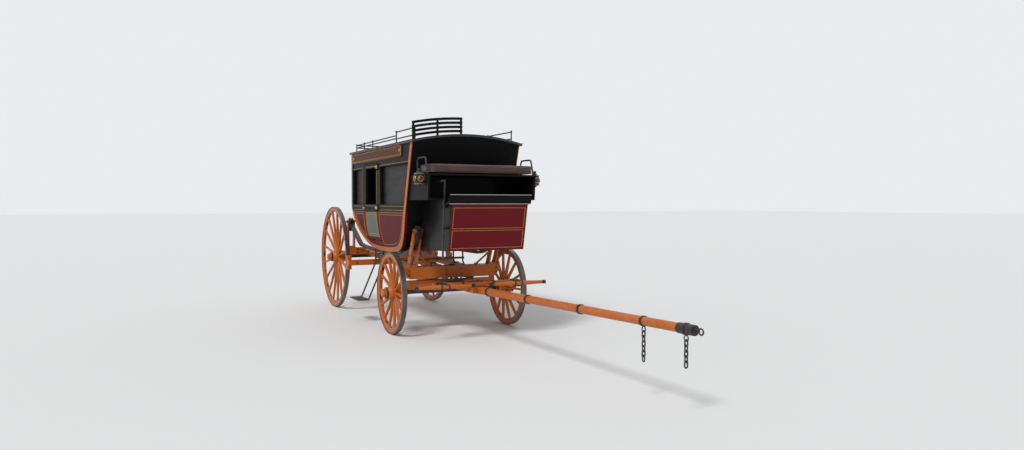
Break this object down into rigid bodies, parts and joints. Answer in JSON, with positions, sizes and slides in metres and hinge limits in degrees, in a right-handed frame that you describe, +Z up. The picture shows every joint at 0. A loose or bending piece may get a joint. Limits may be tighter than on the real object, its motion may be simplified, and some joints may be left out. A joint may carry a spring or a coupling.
{
  "type": "stagecoach",
  "caption": "Horse-drawn stagecoach: curved cabin slung on leather braces, driver's seat, spoked wooden wheels, steered front axle and a long draught pole.",
  "frame": {"origin": "centre of the footprint, on the ground", "axes": "+X forward along the pole, +Y to the coach's left, +Z up"},
  "size_m": [8.2348, 1.9, 2.6416],
  "materials": {
    "amber_paint": "gloss orange-amber enamel on wood",
    "red_paint": "deep red varnished enamel on wood",
    "dark_paint": "black varnished enamel on wood",
    "board_paint": "dark brown-red varnished enamel on wood",
    "iron": "black forged iron, worn at the edges",
    "tyre_iron": "bare rolled iron, rubbed by the road",
    "leather": "black oiled harness leather",
    "seat_leather": "dark brown buttoned leather",
    "inner_wood": "plain varnished wood",
    "canvas": "black painted canvas",
    "brass": "aged brass"
  },
  "bodies": {
    "coach": {"bench_cushions": "seat_leather", "benches": "inner_wood", "brake_beam": "amber_paint", "brake_lever": "iron", "cabin_floor": "dark_paint", "cabin_front_wall": "dark_paint", "cabin_rear_wall": "dark_paint", "cabin_side_left": "red_paint", "cabin_side_right": "red_paint", "door_steps": "iron", "footboard": "dark_paint", "front_boot": "red_paint", "front_posts": "amber_paint", "front_standards": "amber_paint", "front_transom": "amber_paint", "kingpin": "iron", "lamps": "brass", "name_boards": "board_paint", "perches": "amber_paint", "rear_axle": "iron", "rear_axle_bed": "amber_paint", "rear_boot": "leather", "rear_posts": "dark_paint", "rear_standards": "amber_paint", "roof": "canvas", "roof_rails": "iron", "seat_arms": "iron", "seat_back": "dark_paint", "seat_box": "dark_paint", "seat_cushion": "seat_leather", "sills": "amber_paint", "thoroughbraces": "leather", "window_curtains": "leather"},
    "front_carriage": {"front_axle": "iron", "front_axle_bed": "amber_paint", "lower_ring": "iron", "hounds": "amber_paint", "pole": "amber_paint", "pole_iron": "iron", "pole_chains": "iron", "evener": "amber_paint", "evener_irons": "iron"},
    "singletree_left": {"singletree_left": "amber_paint"},
    "singletree_right": {"singletree_right": "amber_paint"},
    "door_left": {"door_left": "red_paint", "door_left_irons": "brass"},
    "door_right": {"door_right": "red_paint", "door_right_irons": "brass"},
    "rear_left_wheel": {"rear_left_wheel_hub": "amber_paint", "rear_left_wheel_rim": "amber_paint", "rear_left_wheel_tyre": "tyre_iron"},
    "rear_right_wheel": {"rear_right_wheel_hub": "amber_paint", "rear_right_wheel_rim": "amber_paint", "rear_right_wheel_tyre": "tyre_iron"},
    "front_left_wheel": {"front_left_wheel_hub": "amber_paint", "front_left_wheel_rim": "amber_paint", "front_left_wheel_tyre": "tyre_iron"},
    "front_right_wheel": {"front_right_wheel_hub": "amber_paint", "front_right_wheel_rim": "amber_paint", "front_right_wheel_tyre": "tyre_iron"}
  },
  "joints": [
    {"name": "steering", "type": "hinge", "parent": "coach", "child": "front_carriage", "pos_m": [-0.5625, 0, 0.64], "axis": [0, 0, 1], "range_deg": [-24, 24]},
    {"name": "rear_left_wheel_turn", "type": "hinge", "parent": "coach", "child": "rear_left_wheel", "pos_m": [-3.3425, 0.795, 0.775], "axis": [0, 1, 0], "continuous": true},
    {"name": "rear_right_wheel_turn", "type": "hinge", "parent": "coach", "child": "rear_right_wheel", "pos_m": [-3.3425, -0.795, 0.775], "axis": [0, 1, 0], "continuous": true},
    {"name": "front_left_wheel_turn", "type": "hinge", "parent": "front_carriage", "child": "front_left_wheel", "pos_m": [-0.5625, 0.795, 0.5025], "axis": [0, 1, 0], "continuous": true},
    {"name": "front_right_wheel_turn", "type": "hinge", "parent": "front_carriage", "child": "front_right_wheel", "pos_m": [-0.5625, -0.795, 0.5025], "axis": [0, 1, 0], "continuous": true},
    {"name": "door_left_swing", "type": "hinge", "parent": "coach", "child": "door_left", "pos_m": [-1.407, 0.714, 1.8], "axis": [0, 0, -1], "range_deg": [0, 100]},
    {"name": "singletree_left_swing", "type": "hinge", "parent": "front_carriage", "child": "singletree_left", "pos_m": [0.3775, 0.47, 0.6506], "axis": [0, 0, 1], "range_deg": [-12, 12]},
    {"name": "door_right_swing", "type": "hinge", "parent": "coach", "child": "door_right", "pos_m": [-1.407, -0.714, 1.8], "axis": [0, 0, 1], "range_deg": [0, 100]},
    {"name": "singletree_right_swing", "type": "hinge", "parent": "front_carriage", "child": "singletree_right", "pos_m": [0.3775, -0.47, 0.6506], "axis": [0, 0, 1], "range_deg": [-12, 12]}
  ]
}
